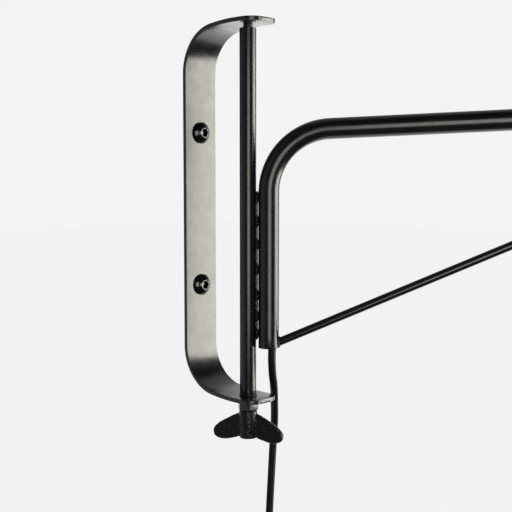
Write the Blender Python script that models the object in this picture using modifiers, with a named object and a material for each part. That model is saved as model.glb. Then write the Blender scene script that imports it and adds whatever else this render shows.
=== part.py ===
"""A swinging wall-lamp arm: a C-shaped steel bracket, a tube that turns between its legs, and a braced tube arm.

Metres, +Z up. The origin lies on the wall face, midway between the legs, and +X points out of the wall.
"""

import math

import bmesh
import bpy
from mathutils import Matrix, Vector

GAP = 0.0003  # clearance between pieces that touch

# Wall bracket: one flat strip, bent into a C
STRIP_WIDTH = 0.040
STRIP_THICKNESS = 0.004
BRACKET_HEIGHT = 0.362
LEG_REACH = 0.094
TIP_CORNER = 0.013
BEND_RADIUS = 0.045  # outer face, first and tighter part of each bend
BEND_ANGLE = math.radians(82)
EASE_RADIUS = 0.250  # outer face, where the bend eases out into the leg
SCREW_HEIGHTS = {"upper": 0.0770, "lower": -0.0745}
SCREW_SHANK = 0.0058  # mean radius of the M12 thread that goes with a 21 mm head
SCREW_HEAD = 0.0105
SCREW_HEAD_HEIGHT = 0.0066
SOCKET_ACROSS_FLATS = 0.008
SCREW_LENGTH = 0.016  # under the head

# Pivot: a tube on two stubs, between the legs
PIVOT_X = 0.070
PIVOT_TUBE = 0.008
PIVOT_BORE = 0.006
PIVOT_TOP = 0.1732
THRUST_WASHER = 0.001
CLAMP_WASHER = 0.0008
UPPER_PIN = 0.0044
STUD = 0.0057  # M12 thread, drawn at its mean radius
STUD_HOLE = 0.0063
NUT_ACROSS_FLATS = 0.018
NUT_HEIGHT = 0.0085
HUB_RADIUS = 0.0092
HUB_HEIGHT = 0.0284
WING_SPAN = 0.074
WING_THICKNESS = 0.0056
WING_TURN = math.radians(23.3)  # the wings' direction from +X, towards +Y, with the nut tight

# Arm: one bent tube beside the pivot tube, turned out from the wall's normal
ARM_SWING = math.radians(38)
ARM_OFFSET = 0.020
ARM_TUBE = 0.010
ARM_WALL = 0.0015
ARM_BOTTOM = -0.1302
ARM_BEND_START = 0.0191
ARM_BEND_RADIUS = 0.060
ARM_RISE = math.radians(2.465)
ARM_LENGTH = 0.560
SPACER_TOP, SPACER_BOTTOM = 0.020, -0.120
WELD_HEIGHTS = (0.0145, -0.0080, -0.0300, -0.0540, -0.0790, -0.0990, -0.1160)
WELD_LENGTH = 0.012
BRACE = 0.004
BRACE_FOOT = -0.1289  # the brace's axis where it meets the arm tube's axis
BRACE_SLOPE = 0.438
LEAD = 0.0038

# Lamp holder and bulb, along the arm's end
HOLDER_RADIUS = 0.0195
BULB_RADIUS = 0.040

# Free cord: down past the lower leg, then a tied hank and the plug
CORD_ROUTE = (
    (0.0883, 0.0143, -0.1305),
    (0.0876, 0.0148, -0.1430),
    (0.0850, 0.0185, -0.1570),
    (0.0822, 0.0230, -0.1670),
    (0.0788, 0.0275, -0.1770),
    (0.0738, 0.0332, -0.1900),
    (0.0695, 0.0380, -0.2020),
    (0.0660, 0.0414, -0.2140),
    (0.0638, 0.0428, -0.2260),
    (0.0625, 0.0430, -0.2400),
    (0.0611, 0.0420, -0.2730),
    (0.0600, 0.0408, -0.3060),
    (0.0597, 0.0402, -0.3250),
)
HANK_TOP = -0.345  # where the straight runs begin
HANK_RUN = 0.107
HANK_RADIUS = 0.023
HANK_TURNS = 4
HANK_PITCH = 0.008
PLUG_TOP = -0.492

for existing in list(bpy.data.objects):
    bpy.data.objects.remove(existing, do_unlink=True)

parts = bpy.data.collections.new("swing_arm_wall_lamp")
cutters = bpy.data.collections.new("cutters")
for collection in (parts, cutters):
    bpy.context.scene.collection.children.link(collection)


def material(name, colour, roughness, metallic=0.0):
    made = bpy.data.materials.new(name)
    made.use_nodes = True
    shader = made.node_tree.nodes["Principled BSDF"]
    shader.inputs["Base Color"].default_value = (*colour, 1.0)
    shader.inputs["Roughness"].default_value = roughness
    shader.inputs["Metallic"].default_value = metallic
    return made


STRIP_BLACK = material("strip_black", (0.02, 0.02, 0.02), 0.32)
SATIN_BLACK = material("satin_black", (0.018, 0.018, 0.019), 0.38)
BLACK_OXIDE = material("black_oxide", (0.02, 0.02, 0.022), 0.3, 0.6)
CAST_BLACK = material("cast_black", (0.02, 0.02, 0.02), 0.55)
BRONZE = material("bronze", (0.20, 0.12, 0.07), 0.4, 0.9)
RUBBER = material("rubber", (0.03, 0.03, 0.03), 0.6)
FLEX = material("flex", (0.03, 0.03, 0.032), 0.5)
PLUG_BLACK = material("plug_black", (0.03, 0.03, 0.03), 0.45)
NICKEL = material("nickel", (0.7, 0.68, 0.62), 0.2, 1.0)
PORCELAIN = material("porcelain", (0.85, 0.84, 0.80), 0.25)
OPAL = material("opal_glass", (0.92, 0.91, 0.88), 0.15)


def empty(name, location=(0, 0, 0), rotation=(0, 0, 0), parent=None):
    made = bpy.data.objects.new(name, None)
    made.location, made.rotation_euler, made.parent = location, rotation, parent
    parts.objects.link(made)
    return made


def add(name, data, surface=None, location=(0, 0, 0), rotation=(0, 0, 0), parent=None, collection=parts):
    made = bpy.data.objects.new(name, data)
    made.location, made.rotation_euler, made.parent = location, rotation, parent
    collection.objects.link(made)
    if surface:
        data.materials.append(surface)
    if collection == cutters:
        made.hide_render = True
        made.display_type = "WIRE"
    return made


def smooth(obj, angle=35):
    obj.data.shade_smooth()
    obj.data.set_sharp_from_angle(angle=math.radians(angle))
    return obj


def baked(obj):
    """The object's evaluated mesh in place of its curve or modifiers, with loose caps welded."""
    bpy.context.view_layer.update()
    evaluated = obj.evaluated_get(bpy.context.evaluated_depsgraph_get())
    mesh = bpy.data.meshes.new_from_object(evaluated)
    shape = bmesh.new()
    shape.from_mesh(mesh)
    bmesh.ops.remove_doubles(shape, verts=shape.verts, dist=1e-6)
    bmesh.ops.recalc_face_normals(shape, faces=shape.faces)
    shape.to_mesh(mesh)
    shape.free()
    name, home, hidden = obj.name, obj.users_collection[0], obj.hide_render
    made = bpy.data.objects.new(name + "_mesh", mesh)
    home.objects.link(made)
    made.parent = obj.parent
    made.matrix_world = obj.matrix_world
    made.hide_render = hidden
    made.display_type = obj.display_type
    bpy.data.objects.remove(obj)
    made.name = name
    return made


def turned(name, profile, surface=None, closed=False, steps=32, **place):
    """A profile of (radius, height) points about Z, its outer side running top to bottom."""
    mesh = bpy.data.meshes.new(name)
    points = [(radius, 0.0, height) for radius, height in profile]
    edges = [(i, i + 1) for i in range(len(points) - 1)]
    if closed:
        edges.append((len(points) - 1, 0))
    mesh.from_pydata(points, edges, [])
    made = add(name, mesh, surface, **place)
    screw = made.modifiers.new("turn", "SCREW")
    screw.steps = screw.render_steps = steps
    screw.use_merge_vertices = True
    screw.merge_threshold = 1e-5
    screw.use_smooth_shade = True
    return made


def ring(name, outer, inner, top, bottom, surface=None, steps=32, **place):
    profile = [(outer, top), (outer, bottom), (inner, bottom), (inner, top)]
    return turned(name, profile, surface, closed=True, steps=steps, **place)


def cylinder(name, radius, length, sides=32, surface=None, turn=0.0, **place):
    """A cylinder centred on its own origin, along its local Z."""
    mesh = bpy.data.meshes.new(name)
    shape = bmesh.new()
    bmesh.ops.create_cone(
        shape, cap_ends=True, segments=sides, radius1=radius, radius2=radius, depth=length
    )
    bmesh.ops.rotate(shape, verts=shape.verts, matrix=Matrix.Rotation(turn, 3, "Z"))
    shape.to_mesh(mesh)
    shape.free()
    return add(name, mesh, surface, **place)


def tube_along(name, points, radius, resolution, surface=None, caps=True, **place):
    curve = bpy.data.curves.new(name, "CURVE")
    curve.dimensions = "3D"
    curve.bevel_depth = radius
    curve.bevel_resolution = resolution
    curve.use_fill_caps = caps
    spline = curve.splines.new("POLY")
    spline.points.add(len(points) - 1)
    for point, place_of in zip(spline.points, points):
        point.co = (*place_of, 1.0)
    return add(name, curve, surface, **place)


def plate(name, outline, thickness, surface=None, **place):
    """A flat outline in the local XY plane, with its thickness along local Z."""
    curve = bpy.data.curves.new(name, "CURVE")
    curve.dimensions = "2D"
    curve.fill_mode = "BOTH"
    curve.extrude = thickness / 2
    for loop in outline if isinstance(outline[0][0], tuple) else (outline,):
        spline = curve.splines.new("POLY")
        spline.points.add(len(loop) - 1)
        for point, (x, y) in zip(spline.points, loop):
            point.co = (x, y, 0.0, 1.0)
        spline.use_cyclic_u = True
    return baked(add(name, curve, surface, **place))


def arc(centre, radius, start, end, steps):
    """Points on an arc, angles in radians from +X."""
    turn = (end - start) / steps
    return [
        (centre[0] + radius * math.cos(start + turn * i), centre[1] + radius * math.sin(start + turn * i))
        for i in range(steps + 1)
    ]


def cut(target, cutter, operation="DIFFERENCE"):
    made = target.modifiers.new(operation.lower() + "_" + cutter.name, "BOOLEAN")
    made.operation = operation
    made.solver = "EXACT"
    made.object = cutter


def smooth_route(points, spacing):
    """Points on a Catmull-Rom curve through the route, about one spacing apart."""
    route = [Vector(p) for p in points]
    route = [2 * route[0] - route[1], *route, 2 * route[-1] - route[-2]]
    found = [route[1]]
    for a, b, c, d in zip(route, route[1:], route[2:], route[3:]):
        steps = max(1, round((c - b).length / spacing))
        for i in range(1, steps + 1):
            t = i / steps
            found.append(
                0.5 * (2 * b + (c - a) * t + (2 * a - 5 * b + 4 * c - d) * t**2 + (3 * b - a - 3 * c + d) * t**3)
            )
    return found


def strip_face(inset):
    """One face of the strip from the lower leg's tip to the upper one's, as (x, z) points."""
    ease = math.pi / 2 - BEND_ANGLE
    rise = BEND_RADIUS * math.sin(BEND_ANGLE) + EASE_RADIUS * (1 - math.sin(BEND_ANGLE))
    bend_start = BRACKET_HEIGHT / 2 - rise
    first = (BEND_RADIUS, bend_start)
    second = (
        first[0] + (EASE_RADIUS - BEND_RADIUS) * math.cos(BEND_ANGLE),
        first[1] - (EASE_RADIUS - BEND_RADIUS) * math.sin(BEND_ANGLE),
    )
    upper = arc(first, BEND_RADIUS - inset, math.pi, math.pi - BEND_ANGLE, 14)
    upper += arc(second, EASE_RADIUS - inset, math.pi / 2 + ease, math.pi / 2, 4)[1:]
    upper.append((LEG_REACH + 0.01, BRACKET_HEIGHT / 2 - inset))
    return [(x, -z) for x, z in reversed(upper)] + upper


def bracket_strip():
    """The bent strip. Its width and rounded tips come from the flat plan that it is trimmed to."""
    outline = strip_face(0.0) + list(reversed(strip_face(STRIP_THICKNESS)))
    strip = plate(
        "bracket_strip", outline, STRIP_WIDTH + 0.004, STRIP_BLACK, rotation=(math.pi / 2, 0, 0)
    )
    half, corner = STRIP_WIDTH / 2, TIP_CORNER
    plan = [(-0.01, -half), (-0.01, half)]
    plan += reversed(arc((LEG_REACH - corner, half - corner), corner, 0, math.pi / 2, 8))
    plan += reversed(arc((LEG_REACH - corner, corner - half), corner, -math.pi / 2, 0, 8))
    cut(strip, plate("strip_plan", plan, 0.5, collection=cutters), "INTERSECT")
    for name, radius, height in (("upper", UPPER_PIN + 0.0004, 0.179), ("lower", STUD_HOLE, -0.179)):
        hole = cylinder(
            name + "_pivot_hole", radius, 0.012, location=(PIVOT_X, 0, height), collection=cutters
        )
        cut(strip, hole)
    for name, height in SCREW_HEIGHTS.items():
        hole = cylinder(
            name + "_screw_hole",
            SCREW_SHANK + 0.0006,
            0.02,
            location=(0, 0, height),
            rotation=(0, math.pi / 2, 0),
            collection=cutters,
        )
        cut(strip, hole)
    return strip


def wall_screw(side):
    """A dome-headed machine screw, its head on the strip and its end in an insert in the wall."""
    head_radius, head_height, socket_depth = SCREW_HEAD, SCREW_HEAD_HEIGHT, 0.004
    dome = arc((0, 0), 1.0, math.radians(26), math.radians(90), 8)
    seat = STRIP_THICKNESS + GAP
    rim = 0.0012
    profile = [
        (head_radius * x / dome[0][0], seat + rim + (head_height - rim) * (y - dome[0][1]) / (1 - dome[0][1]))
        for x, y in reversed(dome)
    ]
    profile[0] = (0.0, seat + head_height)
    point = seat - SCREW_LENGTH
    profile += [(head_radius, seat), (SCREW_SHANK, seat), (SCREW_SHANK, point + 0.001)]
    profile += [(SCREW_SHANK - 0.001, point), (0.0, point)]
    place = {"location": (0, 0, SCREW_HEIGHTS[side]), "rotation": (0, math.pi / 2, 0)}
    screw = turned(side + "_wall_screw", profile, BLACK_OXIDE, **place)
    socket = cylinder(
        side + "_socket",
        SOCKET_ACROSS_FLATS / 2 / math.cos(math.pi / 6),
        2 * socket_depth,
        sides=6,
        turn=math.pi / 6,
        location=(seat + head_height, 0, SCREW_HEIGHTS[side]),
        rotation=(0, math.pi / 2, 0),
        collection=cutters,
    )
    cut(screw, socket)
    return screw


def pivot():
    """The tube, its stub pins, washer and nut. They turn together about the pivot's axis."""
    leg = BRACKET_HEIGHT / 2 - STRIP_THICKNESS
    washer_bottom = -leg + 2 * GAP
    washer_top = washer_bottom + THRUST_WASHER
    tube_bottom = washer_top + GAP
    ring("pivot_tube", PIVOT_TUBE, PIVOT_BORE, PIVOT_TOP, tube_bottom, SATIN_BLACK, parent=swing)
    ring("thrust_washer", 0.0087, STUD + GAP, washer_top, washer_bottom, BRONZE, parent=swing)
    pin_top = BRACKET_HEIGHT / 2 - GAP
    shoulder = PIVOT_TOP - 0.001
    pin = [(0, pin_top), (UPPER_PIN, pin_top), (UPPER_PIN, shoulder), (PIVOT_BORE - GAP, shoulder)]
    pin += [(PIVOT_BORE - GAP, shoulder - 0.025), (0, shoulder - 0.025)]
    turned("upper_pivot_pin", pin, BLACK_OXIDE, parent=swing)
    clamp_top = -BRACKET_HEIGHT / 2 - GAP
    clamp_bottom = clamp_top - CLAMP_WASHER
    ring("clamp_washer", 0.012, STUD + GAP, clamp_top, clamp_bottom, BLACK_OXIDE, parent=swing)
    nut_top = clamp_bottom - GAP
    nut_bottom = nut_top - NUT_HEIGHT
    stud_end = nut_bottom - HUB_HEIGHT + 0.002
    stud = [(0, tube_bottom + 0.025), (STUD, tube_bottom + 0.025), (STUD, stud_end + 0.001)]
    stud += [(STUD - 0.001, stud_end), (0, stud_end)]
    turned("lower_pivot_stud", stud, BLACK_OXIDE, parent=swing)
    nut = cylinder(
        "hex_nut",
        NUT_ACROSS_FLATS / 2 / math.cos(math.pi / 6),
        NUT_HEIGHT,
        sides=6,
        turn=math.radians(-15),
        surface=BLACK_OXIDE,
        location=(0, 0, (nut_top + nut_bottom) / 2),
        parent=swing,
    )
    cut(nut, cylinder("nut_hole", STUD + GAP, 0.03, location=nut.location, parent=swing, collection=cutters))
    return nut_bottom


def wing_nut(top):
    """A cast wing nut, worn upside down: a round hub and two drooping wings."""
    top -= GAP
    hub = [(HUB_RADIUS, top), (HUB_RADIUS, top - 0.6 * HUB_HEIGHT), (HUB_RADIUS - 0.0006, top - HUB_HEIGHT)]
    hub += [(STUD + GAP, top - HUB_HEIGHT), (STUD + GAP, top)]
    nut = turned("wing_nut", hub, CAST_BLACK, closed=True, parent=wing_axis)
    half = WING_SPAN / 2
    upper = [(0.0075, 0.0027), (0.0165, 0.0069), (0.0247, 0.0115), (0.0309, 0.0152), (0.0355, 0.0197)]
    lower = [(half, 0.0237), (0.0355, 0.0292), (0.0304, 0.0315), (0.0227, 0.0318), (0.0144, 0.0295)]
    wing_outline = [(x, -drop) for x, drop in upper + lower + [(0.0075, 0.0273)]]
    for name, turn in (("near", 0.0), ("far", math.pi)):
        wing = plate(
            "wing_" + name,
            wing_outline,
            WING_THICKNESS,
            location=(0, 0, top),
            rotation=(math.pi / 2, 0, turn),
            parent=wing_axis,
            collection=cutters,
        )
        cut(nut, wing, "UNION")
    return nut


def arm_path(inset=0.0, end=ARM_LENGTH):
    """The arm tube's centre line in the arm's own plane: up, round the bend, then out."""
    points = [(0.0, ARM_BOTTOM + inset), (0.0, -0.060), (0.0, ARM_BEND_START)]
    sweep = math.pi / 2 - ARM_RISE
    centre = (ARM_BEND_RADIUS, ARM_BEND_START)
    points += arc(centre, ARM_BEND_RADIUS, math.pi, math.pi - sweep, 14)[1:]
    x, z = points[-1]
    for share in (0.5, 1.0):
        reach = x + (end - x) * share
        points.append((reach, z + (reach - x) * math.tan(ARM_RISE)))
    return [(x, 0.0, z) for x, z in points]


def arm_tube():
    """The bent tube, open at both ends."""
    surface = baked(tube_along("arm_tube", arm_path(), ARM_TUBE, 9, SATIN_BLACK, caps=False, parent=arm))
    wall = surface.modifiers.new("wall", "SOLIDIFY")
    wall.thickness = ARM_WALL
    wall.offset = -1
    return smooth(surface, 50)


def tube_seam():
    """A flat spacer between the two tubes, and the stitch welds that hold it."""
    height = SPACER_TOP - SPACER_BOTTOM
    inner, outer = PIVOT_TUBE - ARM_OFFSET + GAP, -ARM_TUBE - GAP
    corners = [(inner, -0.003), (outer, -0.003), (outer, 0.003), (inner, 0.003)]
    plate(
        "seam_spacer",
        corners,
        height,
        SATIN_BLACK,
        location=(0, 0, (SPACER_TOP + SPACER_BOTTOM) / 2),
        parent=arm,
    )
    for number, middle in enumerate(WELD_HEIGHTS, start=1):
        mesh = bpy.data.meshes.new(f"seam_weld_{number}")
        bead = bmesh.new()
        bmesh.ops.create_uvsphere(bead, u_segments=10, v_segments=8, radius=1.0)
        bmesh.ops.scale(bead, vec=(0.0018, 0.0012, WELD_LENGTH / 2), verts=bead.verts)
        bead.to_mesh(mesh)
        bead.free()
        place = ((inner + outer) / 2, -0.0048, middle)
        smooth(add(mesh.name, mesh, SATIN_BLACK, location=place, parent=arm), 80)


def brace():
    """The round brace rod, its ends trimmed to the tube, with a fillet weld round each end."""
    x, _, z = arm_path()[-1]
    meet = (z - x * math.tan(ARM_RISE) - BRACE_FOOT) / (BRACE_SLOPE - math.tan(ARM_RISE))
    line = Vector((1.0, 0.0, BRACE_SLOPE)).normalized()
    foot = Vector((0.0, 0.0, BRACE_FOOT))
    head = foot + line * (meet / line.x)
    tilt = math.atan2(1.0, BRACE_SLOPE)
    arm_tilt = math.pi / 2 - ARM_RISE
    trims = {
        "foot": cylinder(
            "foot_trim", ARM_TUBE + GAP, 0.12, location=(0, 0, BRACE_FOOT), parent=arm, collection=cutters
        ),
        "head": cylinder(
            "head_trim",
            ARM_TUBE + GAP,
            0.16,
            location=head,
            rotation=(0, arm_tilt, 0),
            parent=arm,
            collection=cutters,
        ),
    }
    rod = baked(tube_along("brace_rod", [foot, foot.lerp(head, 0.5), head], BRACE, 6, SATIN_BLACK, parent=arm))
    for trim in trims.values():
        cut(rod, trim)
    for name, place, near, far in (("foot", foot, 0.004, 0.0165), ("head", head, -0.004, -0.0345)):
        low, high = sorted((near, far))
        wide = [(0.0062, low), (0.0048, high)] if name == "foot" else [(0.0048, low), (0.0062, high)]
        profile = [wide[1], wide[0], (BRACE + GAP, low), (BRACE + GAP, high)]
        weld = turned(
            f"brace_{name}_weld",
            profile,
            SATIN_BLACK,
            closed=True,
            steps=24,
            location=place,
            rotation=(0, tilt, 0),
            parent=arm,
        )
        cut(weld, trims[name])


def arm_inside():
    """The grommet in the arm's lower end, with its hole off centre, and the lead that runs through the arm."""
    shift = 0.0032
    grommet = cylinder(
        "cord_grommet",
        ARM_TUBE - ARM_WALL - GAP,
        0.008,
        surface=RUBBER,
        location=(0, 0, ARM_BOTTOM + 0.0042),
        parent=arm,
    )
    hole = cylinder(
        "grommet_hole", LEAD + GAP, 0.02, location=(shift, 0, ARM_BOTTOM), parent=arm, collection=cutters
    )
    cut(grommet, hole)
    route = [(shift, 0, ARM_BOTTOM), (shift, 0, ARM_BOTTOM + 0.012), (0.0015, 0, -0.095)]
    route += arm_path(end=ARM_LENGTH - 0.030)[1:]
    tube_along("arm_lead", route, LEAD, 3, FLEX, parent=arm)


def lamp_end():
    """The holder and bulb in line with the arm's end. Heights run along the arm, from the tube's end."""
    x, _, z = arm_path()[-1]
    end = empty("arm_end", (x, 0, z), (0, math.pi / 2 - ARM_RISE, 0), arm)
    bore, nipple = ARM_TUBE - ARM_WALL - GAP, 0.005
    plug = [(ARM_TUBE, 0.003), (ARM_TUBE, GAP), (bore, GAP), (bore, -0.012), (nipple + GAP, -0.012)]
    turned("arm_end_plug", plug + [(nipple + GAP, 0.003)], SATIN_BLACK, closed=True, parent=end)
    ring("holder_nipple", nipple, 0.0035, 0.020, -0.018, NICKEL, steps=24, parent=end)
    nut = cylinder(
        "nipple_locknut", 0.0081, 0.003, sides=6, surface=BLACK_OXIDE, location=(0, 0, 0.0049), parent=end
    )
    cut(nut, cylinder("locknut_hole", nipple + GAP, 0.02, location=nut.location, parent=end, collection=cutters))
    radius = HOLDER_RADIUS
    cap = [(0.0095, 0.0067), (nipple + GAP, 0.0067), (nipple + GAP, 0.0090), (0.0085, 0.0095)]
    cap += [(radius - 0.0025, 0.0185), (radius - 0.0025, 0.0240), (radius, 0.0240), (radius, 0.0175)]
    turned("holder_cap", cap, SATIN_BLACK, closed=True, parent=end)
    ring("holder_shell", radius, radius - 0.0022, 0.062, 0.0243, SATIN_BLACK, parent=end)
    ring("contact_block", 0.0165, 0.004, 0.034, 0.0243, PORCELAIN, parent=end)
    bulb_cap = [(0, 0.0605), (0.0128, 0.0605), (0.0128, 0.0410), (0.0090, 0.0370), (0.0045, 0.0350), (0, 0.0350)]
    turned("bulb_cap", bulb_cap, NICKEL, parent=end)
    centre, neck = 0.108, 0.0125
    start = math.asin(neck / BULB_RADIUS)
    outer = [(BULB_RADIUS * math.sin(a), centre + BULB_RADIUS * math.cos(a)) for a in spread(0, math.pi - start, 18)]
    outer += [(neck, 0.0608)]
    wall = 0.0012
    thin = BULB_RADIUS - wall
    low = math.pi - math.asin((neck - wall) / thin)
    inner = [(thin * math.sin(a), centre + thin * math.cos(a)) for a in spread(low, 0, 18)]
    turned("bulb_glass", outer + [(neck - wall, 0.0608)] + inner, OPAL, steps=36, parent=end)


def spread(start, end, steps):
    return [start + (end - start) * i / steps for i in range(steps + 1)]


def cord():
    """The free cord's own solids: the hanging tube, the tied hank, the tail and the plug."""
    half = HANK_RADIUS + LEAD
    entry = Vector(CORD_ROUTE[-1])
    centre_x = entry.x - HANK_RADIUS
    contact = math.sqrt(half**2 - (HANK_RADIUS - LEAD) ** 2)
    route = list(CORD_ROUTE) + [(entry.x, entry.y, HANK_TOP + contact + GAP)]
    tube_along("cord_drop", smooth_route(route, 0.012), LEAD, 3, FLEX)

    thickness = HANK_TURNS * HANK_PITCH + 2 * LEAD
    middle_y = entry.y - HANK_TURNS * HANK_PITCH / 2
    bottom = HANK_TOP - HANK_RUN
    outline = arc((centre_x, HANK_TOP), half, 0, math.pi, 16) + arc((centre_x, bottom), half, math.pi, 2 * math.pi, 16)
    upright = {"location": (0, middle_y, 0), "rotation": (math.pi / 2, 0, 0)}
    plate("cord_hank", outline, thickness, FLEX, **upright)
    deep, wide, tie_height, band = thickness / 2 + GAP, half + GAP, 0.009, 0.0015
    inner = [(-wide, -deep), (wide, -deep), (wide, deep), (-wide, deep)]
    outer = [(x + math.copysign(band, x), y + math.copysign(band, y)) for x, y in inner]
    plate(
        "hank_tie",
        (tuple(outer), tuple(inner)),
        tie_height,
        RUBBER,
        location=(centre_x, middle_y, (HANK_TOP + bottom) / 2),
    )

    tail_y = entry.y - HANK_TURNS * HANK_PITCH
    tail = [(entry.x, tail_y, bottom - contact - GAP), (entry.x, tail_y, PLUG_TOP + GAP)]
    tube_along("cord_tail", smooth_route(tail, 0.008), LEAD, 3, FLEX)
    plug(entry.x, tail_y)


def plug(x, y):
    """A round two-pin plug with side earth clips, hanging pins down. Heights run down from its relief's top."""
    base = empty("plug_place", (x, y, PLUG_TOP))
    turned("plug_relief", [(0, 0), (0.0052, 0), (0.0075, -0.030), (0, -0.030)], PLUG_BLACK, steps=24, parent=base)
    radius = 0.0185
    body = [(0, -0.0303), (0.0090, -0.0303), (0.0125, -0.0345), (0.0165, -0.040), (radius, -0.045)]
    body += [(radius, -0.0645), (radius - 0.001, -0.0655), (0, -0.0655)]
    shell = turned("plug_body", body, PLUG_BLACK, parent=base)
    for side, sign in (("left", -1), ("right", 1)):
        spot = (0, sign * 0.0095, -0.0658 - 0.0095)
        smooth(cylinder(f"plug_pin_{side}", 0.0024, 0.019, sides=16, surface=NICKEL, location=spot, parent=base))
        groove = cylinder(
            f"clip_groove_{side}",
            0.0033,
            0.0140,
            sides=4,
            turn=math.pi / 4,
            location=(sign * radius, 0, -0.0600),
            parent=base,
            collection=cutters,
        )
        cut(shell, groove)
        clip = [(sign * (radius - 0.0010), -0.0017), (sign * (radius - 0.0003), -0.0017)]
        clip += [(sign * (radius - 0.0003), 0.0017), (sign * (radius - 0.0010), 0.0017)]
        plate(f"plug_earth_clip_{side}", clip, 0.0115, NICKEL, location=(0, 0, -0.0595), parent=base)


bracket_strip()
for screw_side in SCREW_HEIGHTS:
    wall_screw(screw_side)
swing = empty("swing_axis", (PIVOT_X, 0, 0), (0, 0, ARM_SWING))
wing_axis = empty("wing_nut_axis", (PIVOT_X, 0, 0), (0, 0, WING_TURN))
arm = empty("arm_plane", (ARM_OFFSET, 0, 0), parent=swing)
bpy.context.view_layer.update()
wing_nut(pivot())
arm_tube()
tube_seam()
brace()
arm_inside()
lamp_end()
cord()
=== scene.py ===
"""Looks for the swinging wall-lamp arm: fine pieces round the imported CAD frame, their materials and lights."""

import math

import bmesh
import bpy
from mathutils import Matrix, Vector, noise


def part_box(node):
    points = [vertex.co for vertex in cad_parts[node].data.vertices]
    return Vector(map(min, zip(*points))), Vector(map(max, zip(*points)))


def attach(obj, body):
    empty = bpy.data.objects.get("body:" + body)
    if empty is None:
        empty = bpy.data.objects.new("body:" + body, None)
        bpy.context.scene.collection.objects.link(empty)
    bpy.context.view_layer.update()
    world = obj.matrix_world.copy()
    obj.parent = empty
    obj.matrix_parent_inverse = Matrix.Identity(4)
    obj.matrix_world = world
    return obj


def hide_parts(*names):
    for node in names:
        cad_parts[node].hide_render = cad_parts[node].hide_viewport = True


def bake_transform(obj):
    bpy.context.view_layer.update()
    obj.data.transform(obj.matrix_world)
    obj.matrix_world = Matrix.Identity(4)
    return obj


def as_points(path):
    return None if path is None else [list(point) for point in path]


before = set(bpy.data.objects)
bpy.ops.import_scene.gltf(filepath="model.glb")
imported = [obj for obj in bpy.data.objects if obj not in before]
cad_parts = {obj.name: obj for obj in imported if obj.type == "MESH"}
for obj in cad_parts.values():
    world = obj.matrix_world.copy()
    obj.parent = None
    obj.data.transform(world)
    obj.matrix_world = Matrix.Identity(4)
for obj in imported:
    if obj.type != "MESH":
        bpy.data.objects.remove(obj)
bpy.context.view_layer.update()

# Sizes that a node's box can't give, in metres
ARM_SWING = math.radians(38)
ARM_OFFSET = 0.020
ARM_TUBE = 0.010
ARM_WALL = 0.0015
ARM_BEND_START = 0.0191
ARM_BEND_RADIUS = 0.060
ARM_RISE = math.radians(2.465)
ARM_LENGTH = 0.560
BRACE = 0.004
BRACE_FOOT = -0.1289
BRACE_SLOPE = 0.438
BEND_RADIUS = 0.045
BEND_ANGLE = math.radians(82)
EASE_RADIUS = 0.250
TIP_CORNER = 0.013
WING_TURN = math.radians(23.3)
STUD = 0.0057
LEAD = 0.0038
LEAD_SHIFT = 0.0032

CORD_ROUTE = (
    (0.0883, 0.0143, -0.1305),
    (0.0876, 0.0148, -0.1430),
    (0.0850, 0.0185, -0.1570),
    (0.0822, 0.0230, -0.1670),
    (0.0788, 0.0275, -0.1770),
    (0.0738, 0.0332, -0.1900),
    (0.0695, 0.0380, -0.2020),
    (0.0660, 0.0414, -0.2140),
    (0.0638, 0.0428, -0.2260),
    (0.0625, 0.0430, -0.2400),
    (0.0611, 0.0420, -0.2730),
    (0.0600, 0.0408, -0.3060),
    (0.0597, 0.0402, -0.3250),
)
HANK_TOP = -0.345
HANK_RUN = 0.107
HANK_RADIUS = 0.023
HANK_TURNS = 4
HANK_PITCH = 0.008
HANK_PINCH = 0.0012  # how far the tie draws the runs in
PLUG_TOP = -0.492

strip_low, strip_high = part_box("bracket_strip")
pivot_low, pivot_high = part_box("pivot_tube")
PIVOT_X = (pivot_low.x + pivot_high.x) / 2
ARM_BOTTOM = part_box("arm_tube")[0].z
SWING = Matrix.Translation((PIVOT_X, 0, 0)) @ Matrix.Rotation(ARM_SWING, 4, "Z")
ARM = SWING @ Matrix.Translation((ARM_OFFSET, 0, 0))


# Camera


def add_camera():
    camera = bpy.data.objects.new("camera", bpy.data.cameras.new("camera"))
    bpy.context.scene.collection.objects.link(camera)
    camera.location = (0.7304, -0.6659, 0.0413)
    camera.rotation_euler = (math.radians(90 - 5.062), 0, math.radians(44.296))
    camera.data.lens = 69.07
    camera.data.sensor_width = 36
    camera.data.clip_start = 0.01
    bpy.context.scene.camera = camera


# Mesh tools


def linked(name, mesh):
    made = bpy.data.objects.new(name, mesh)
    bpy.context.scene.collection.objects.link(made)
    return made


def from_points(name, points, faces):
    mesh = bpy.data.meshes.new(name)
    mesh.from_pydata([tuple(p) for p in points], [], faces)
    mesh.validate()
    shape = bmesh.new()
    shape.from_mesh(mesh)
    bmesh.ops.remove_doubles(shape, verts=shape.verts, dist=1e-6)
    bmesh.ops.recalc_face_normals(shape, faces=shape.faces)
    shape.to_mesh(mesh)
    shape.free()
    return linked(name, mesh)


def arc(centre, radius, start, end, steps):
    turn = (end - start) / steps
    return [
        (centre[0] + radius * math.cos(start + turn * i), centre[1] + radius * math.sin(start + turn * i))
        for i in range(steps + 1)
    ]


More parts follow.
